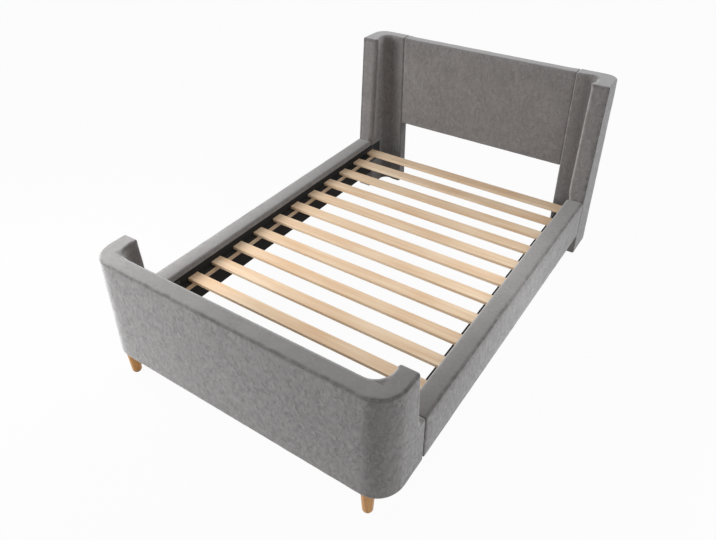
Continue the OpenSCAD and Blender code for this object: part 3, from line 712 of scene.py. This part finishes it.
def cut_velvet():
    """Woven polyester velvet with a broken, squiggly motif: the pile stands lighter where it is
    brushed along; its colour is painted dull from in front and bright at a slant as sheen, with
    painted shade along seams and in hollows."""
    material = new_material("cut_velvet_upholstery")
    tree = material.node_tree
    coordinates = add_node(tree, "TexCoord").outputs
    place = coordinates["Object"]
    motif = velvet_motif(tree, coordinates)
    # Threads stand about 1 mm apart; they are drawn 3 mm apart, the finest that shows
    threads = add_node(tree, "Mapping", {"Vector": place, "Scale": (1.0, 1.0, 0.45)}).outputs[0]
    threads = add_node(tree, "TexNoise", {
        "Vector": threads, "Scale": 330.0, "Detail": 3.0, "Roughness": 0.7}).outputs["Fac"]
    # Slow changes of tone where the pile leans one way or the other
    tone = add_node(tree, "TexNoise", {
        "Vector": place, "Scale": 6.0, "Detail": 2.0}).outputs["Fac"]
    tone = add_node(tree, "Math", {0: tone, 1: 0.3, 2: 0.1},
                    operation="MULTIPLY_ADD").outputs[0]
    grain = add_node(tree, "Math", {0: threads, 1: 0.5, 2: tone},
                     operation="MULTIPLY_ADD").outputs[0]
    amount = add_node(tree, "Math", {0: motif, 1: MOTIF, 2: grain},
                      operation="MULTIPLY_ADD").outputs[0]
    # Mid grey with a trace of brown in the ground, painted pale grey at a slant as sheen, and
    # painted shade in seams and hollows
    colour = add_node(tree, "ValToRGB", {"Fac": amount}, stops=[
        (0.0, linear("#5b5756")), (1.0, linear("#9b9897"))]).outputs["Color"]
    # Painted sheen: paler at a slant and edge on, and along the right wing's painted rim
    colour = add_node(tree, "Mix", {
        "Factor": velvet_painted_sheen(tree, motif), "A": colour, "B": linear("#c5c3c3")},
        data_type="RGBA").outputs["Result"]
    # Painted shade along seams and in hollows
    colour = add_node(tree, "Mix", {
        "Factor": velvet_painted_shade(tree, place), "A": colour, "B": linear("#383534")},
        data_type="RGBA").outputs["Result"]
    height = add_node(tree, "Math", {0: motif, 1: 0.3, 2: threads},
                      operation="MULTIPLY_ADD").outputs[0]
    bump = add_node(tree, "Bump", {
        "Height": height, "Strength": 0.35, "Distance": 1.2 * MM}).outputs[0]
    shader = add_node(tree, "BsdfPrincipled", {
        "Base Color": colour, "Roughness": 0.95, "Specular IOR Level": 0.15, "Normal": bump,
        "Sheen Weight": 0.6, "Sheen Roughness": 0.4, "Sheen Tint": linear("#eceef0")}).outputs[0]
    add_node(tree, "OutputMaterial", {"Surface": shader})
    return material


# Wood's streaks are 25 times longer along the grain than they are wide across it
GRAIN_SQUEEZE = 1 / 25
# Pores stand this many times closer together than the streaks
PORES_PER_STREAK = 9


def planed_wood(name, along, early, late, streaks, roughness, coat=0.0):
    """Planed wood: long soft streaks of early and late wood along an axis, so many to a metre
    across the grain, with fine pores and a dull sheen."""
    material = new_material(name)
    tree = material.node_tree
    place = add_node(tree, "TexCoord").outputs["Object"]
    squeeze = [1.0, 1.0, 1.0]
    squeeze[along] = GRAIN_SQUEEZE
    grain = add_node(tree, "Mapping", {"Vector": place, "Scale": squeeze}).outputs[0]
    figure = add_node(tree, "TexNoise", {
        "Vector": grain, "Scale": streaks, "Detail": 4.0, "Roughness": 0.55,
        "Distortion": 0.4}).outputs["Fac"]
    pores = add_node(tree, "TexNoise", {
        "Vector": grain, "Scale": streaks * PORES_PER_STREAK, "Detail": 2.0,
        "Roughness": 0.7}).outputs["Fac"]
    mix = add_node(tree, "Math", {0: pores, 1: 0.3, 2: figure},
                   operation="MULTIPLY_ADD").outputs[0]
    # Each board differs a little in tone
    board = add_node(tree, "TexNoise", {
        "Vector": place, "Scale": 5.0, "Detail": 0.0}).outputs["Fac"]
    mix = add_node(tree, "Math", {0: board, 1: 0.35, 2: mix},
                   operation="MULTIPLY_ADD").outputs[0]
    colour = add_node(tree, "ValToRGB", {"Fac": mix}, stops=[
        (0.55, linear(early)), (1.0, linear(late))]).outputs["Color"]
    bump = add_node(tree, "Bump", {
        "Height": pores, "Strength": 0.25, "Distance": 0.3 * MM}).outputs[0]
    shader = add_node(tree, "BsdfPrincipled", {
        "Base Color": colour, "Roughness": roughness, "Specular IOR Level": 0.4,
        "Coat Weight": coat, "Coat Roughness": 0.25, "Normal": bump}).outputs[0]
    add_node(tree, "OutputMaterial", {"Surface": shader})
    return material


def mottled(name, dark, light, scale, roughness, bump_mm, metallic=0.0):
    """A finish that is even but for a fine mottle in its colour and surface."""
    material = new_material(name)
    tree = material.node_tree
    place = add_node(tree, "TexCoord").outputs["Object"]
    mottle = add_node(tree, "TexNoise", {
        "Vector": place, "Scale": scale, "Detail": 4.0, "Roughness": 0.65}).outputs["Fac"]
    colour = add_node(tree, "ValToRGB", {"Fac": mottle}, stops=[
        (0.3, linear(dark)), (0.7, linear(light))]).outputs["Color"]
    bump = add_node(tree, "Bump", {
        "Height": mottle, "Strength": 0.5, "Distance": bump_mm * MM}).outputs[0]
    shader = add_node(tree, "BsdfPrincipled", {
        "Base Color": colour, "Roughness": roughness, "Metallic": metallic,
        "Normal": bump}).outputs[0]
    add_node(tree, "OutputMaterial", {"Surface": shader})
    return material


VELVET = cut_velvet()
# Planed pine, untreated: pale, with soft yellow-brown late wood; slats run across the bed
PINE_ACROSS = planed_wood("planed_pine_slats", 0, "#efd9bd", "#dbb995", 55.0, 0.6)
PINE_ALONG = planed_wood("planed_pine_rails", 1, "#efd9bd", "#dbb995", 55.0, 0.6)
PINE_UPRIGHT = planed_wood("planed_pine_posts", 2, "#efd9bd", "#dbb995", 55.0, 0.6)
# Bent and flat birch plywood, sanded: fine even figure
PLYWOOD = planed_wood("sanded_birch_plywood", 2, "#d9bd92", "#bd9a6a", 80.0, 0.65)
# Turned oak under a honey-coloured satin lacquer, its grain upright
OAK = planed_wood("lacquered_oak", 2, "#f2b565", "#bd8240", 90.0, 0.45, coat=0.15)
# Needled felt: black, dull, with a loose fibre mottle of about 3 mm
FELT = mottled("needled_black_felt", "#0c0a09", "#1a1714", 330.0, 0.98, 0.4)
# Powder coat on steel: black, with a fine orange peel of about 1 mm
POWDER_COAT = mottled("black_powder_coat", "#141416", "#1e1e20", 900.0, 0.5, 0.05)
# Zinc plating: bluish grey spangle of about 4 mm
ZINC = mottled("zinc_plated_steel", "#9a9da1", "#b9bcc0", 250.0, 0.38, 0.02, metallic=1.0)
# Moulded polyethylene: black, slightly waxy, with a spark-eroded grain of about 1.5 mm
GLIDE = mottled("moulded_black_polyethylene", "#0f0f10", "#1a1a1b", 700.0, 0.55, 0.05)

# The finish of each node, by how its name starts
FINISHES = [("slat_screws", ZINC), ("slat", PINE_ACROSS), ("ledger_screws", ZINC),
            ("ledger", PINE_ALONG), ("rail_lining", FELT), ("joint", POWDER_COAT),
            ("foot_bolts", ZINC), ("foot_tee_nuts", ZINC), ("foot_glides", GLIDE),
            ("foot_", OAK), ("wing_glides", GLIDE), ("panel_bolts", ZINC),
            ("rail_board", PINE_ALONG), ("rail_battens", PINE_ALONG), ("rail_side", PLYWOOD),
            ("wing_frame", PINE_UPRIGHT), ("panel_frame", PINE_UPRIGHT),
            ("panel_board", PLYWOOD), ("footboard_studs", PINE_UPRIGHT),
            ("footboard_end_posts", PINE_UPRIGHT), ("footboard_", PLYWOOD)]
for piece in REPLACED:
    piece.data.materials.clear()
    piece.data.materials.append(VELVET)
replaced_nodes = {name for names in REPLACED.values() for name in names}
for name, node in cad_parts.items():
    if name in replaced_nodes:
        continue
    finish = next(f for start, f in FINISHES if name.startswith(start))
    for slot in node.material_slots:
        slot.material = finish

# The camera stands where the photograph was taken from, to the right of the foot end.
# Its place is given in metres from the middle of the footboard's front face, at floor level.
CAMERA_FROM_FOOT = Vector((1.353, -1.140, 2.117))
CAMERA_AZIMUTH, CAMERA_DOWN, CAMERA_ROLL = [math.radians(a) for a in (34.09, 32.51, -0.27)]
PHOTO_SIZE, CENTRE_PIXEL, FOCAL_PIXELS = (716, 540), (356.58, 213.79), 659.29
SENSOR_MM = 36.0


def add_camera():
    data = bpy.data.cameras.new("camera")
    camera = bpy.data.objects.new("camera", data)
    scene.collection.objects.link(camera)
    width, height = PHOTO_SIZE
    data.sensor_width = SENSOR_MM
    data.lens = FOCAL_PIXELS / width * SENSOR_MM
    data.shift_x = (width / 2 - CENTRE_PIXEL[0]) / width
    data.shift_y = (CENTRE_PIXEL[1] - height / 2) / width
    data.clip_start = 0.05
    data.clip_end = 60.0
    place = CAMERA_FROM_FOOT + Vector((0, cad_low.y, 0))
    level = math.cos(CAMERA_DOWN)
    ahead = Vector((-math.sin(CAMERA_AZIMUTH) * level, math.cos(CAMERA_AZIMUTH) * level,
                    -math.sin(CAMERA_DOWN)))
    turn = ahead.to_track_quat("-Z", "Y").to_matrix().to_4x4()
    roll = Matrix.Rotation(CAMERA_ROLL, 4, "Z")
    camera.matrix_world = Matrix.Translation(place) @ turn @ roll
    scene.camera = camera


# The studio: a pale floor, white surroundings and large soft lamps
# The strength of the light that comes from all sides
AMBIENT = 0.54
# The floor: how much of it is seen as plain white, while the rest keeps the bed's shadow, its
# grey under the lamps, and its width and how far it lies under the feet, in metres
FLOOR_GLOW, FLOOR_GREY, FLOOR_WIDTH, FLOOR_DROP = 0.96, 0.45, 40, 0.0005
# Each lamp's place, what it points at, its width in metres, its power in watts and the angle
# that its light fills in degrees
LAMPS = [("key_lamp", (-3.0, -2.2, 1.7), (-0.3, -0.9, 0.3), 1.2, 42, 130),
         ("high_lamp", (-2.6, -1.2, 2.6), (-0.4, -0.3, 0.3), 1.2, 9, 180),
         ("near_lamp", (-1.5, -0.9, 1.2), (-0.6, -0.8, 0.4), 0.8, 11, 180),
         ("right_lamp", (1.0, 0.2, 1.5), (0.7, 0.1, 0.32), 0.6, 0.5, 50),
         ("wing_lamp", (2.2, 1.6, 1.2), (0.7, 0.9, 0.5), 1.0, 3, 180),
         ("low_lamp", (1.9, -0.4, 0.35), (0.7, -0.3, 0.2), 0.8, 3, 180),
         ("back_lamp", (0.4, 3.0, 2.8), (0.0, 0.0, 0.3), 1.6, 18, 180)]


def seen_directly(tree):
    """One where a ray comes from the camera, a gloss or a clear material, nought for lighting."""
    ray = add_node(tree, "LightPath").outputs
    either = add_node(tree, "Math", {0: ray["Is Camera Ray"], 1: ray["Is Glossy Ray"]},
                      operation="MAXIMUM").outputs[0]
    return add_node(tree, "Math", {0: either, 1: ray["Is Transmission Ray"]},
                    operation="MAXIMUM").outputs[0]


def add_surroundings():
    world = bpy.data.worlds.new("studio")
    scene.world = world
    world.use_nodes = True
    tree = world.node_tree
    tree.nodes.clear()
    lit = add_node(tree, "Background", {"Color": grey(1.0), "Strength": AMBIENT}).outputs[0]
    seen = add_node(tree, "Background", {"Color": grey(1.0), "Strength": 1.0}).outputs[0]
    both = add_node(tree, "MixShader", {0: seen_directly(tree), 1: lit, 2: seen}).outputs[0]
    add_node(tree, "OutputWorld", {"Surface": both})


def add_floor():
    bpy.ops.object.select_all(action="DESELECT")
    bpy.ops.mesh.primitive_plane_add(size=FLOOR_WIDTH, location=(0, 0, -FLOOR_DROP))
    floor = bpy.context.object
    floor.name = "floor"
    bpy.ops.object.transform_apply(location=True, rotation=True, scale=True)
    material = new_material("pale_studio_floor")
    tree = material.node_tree
    matt = add_node(tree, "BsdfDiffuse", {"Color": grey(FLOOR_GREY)}).outputs[0]
    glow = add_node(tree, "Emission", {"Color": grey(1.0), "Strength": 1.0}).outputs[0]
    amount = add_node(tree, "Math", {0: seen_directly(tree), 1: FLOOR_GLOW},
                      operation="MULTIPLY").outputs[0]
    both = add_node(tree, "MixShader", {0: amount, 1: matt, 2: glow}).outputs[0]
    add_node(tree, "OutputMaterial", {"Surface": both})
    floor.data.materials.append(material)


def add_lamp(name, place, target, size, watts, spread):
    data = bpy.data.lights.new(name, "AREA")
    data.shape = "DISK"
    data.size = size
    data.energy = watts
    data.spread = math.radians(spread)
    lamp = bpy.data.objects.new(name, data)
    scene.collection.objects.link(lamp)
    lamp.visible_camera = False
    lamp.location = place
    lamp.rotation_euler = (Vector(target) - Vector(place)).to_track_quat("-Z", "Y").to_euler()


add_camera()
add_surroundings()
add_floor()
for lamp in LAMPS:
    add_lamp(*lamp)

scene.view_settings.view_transform = "Standard"
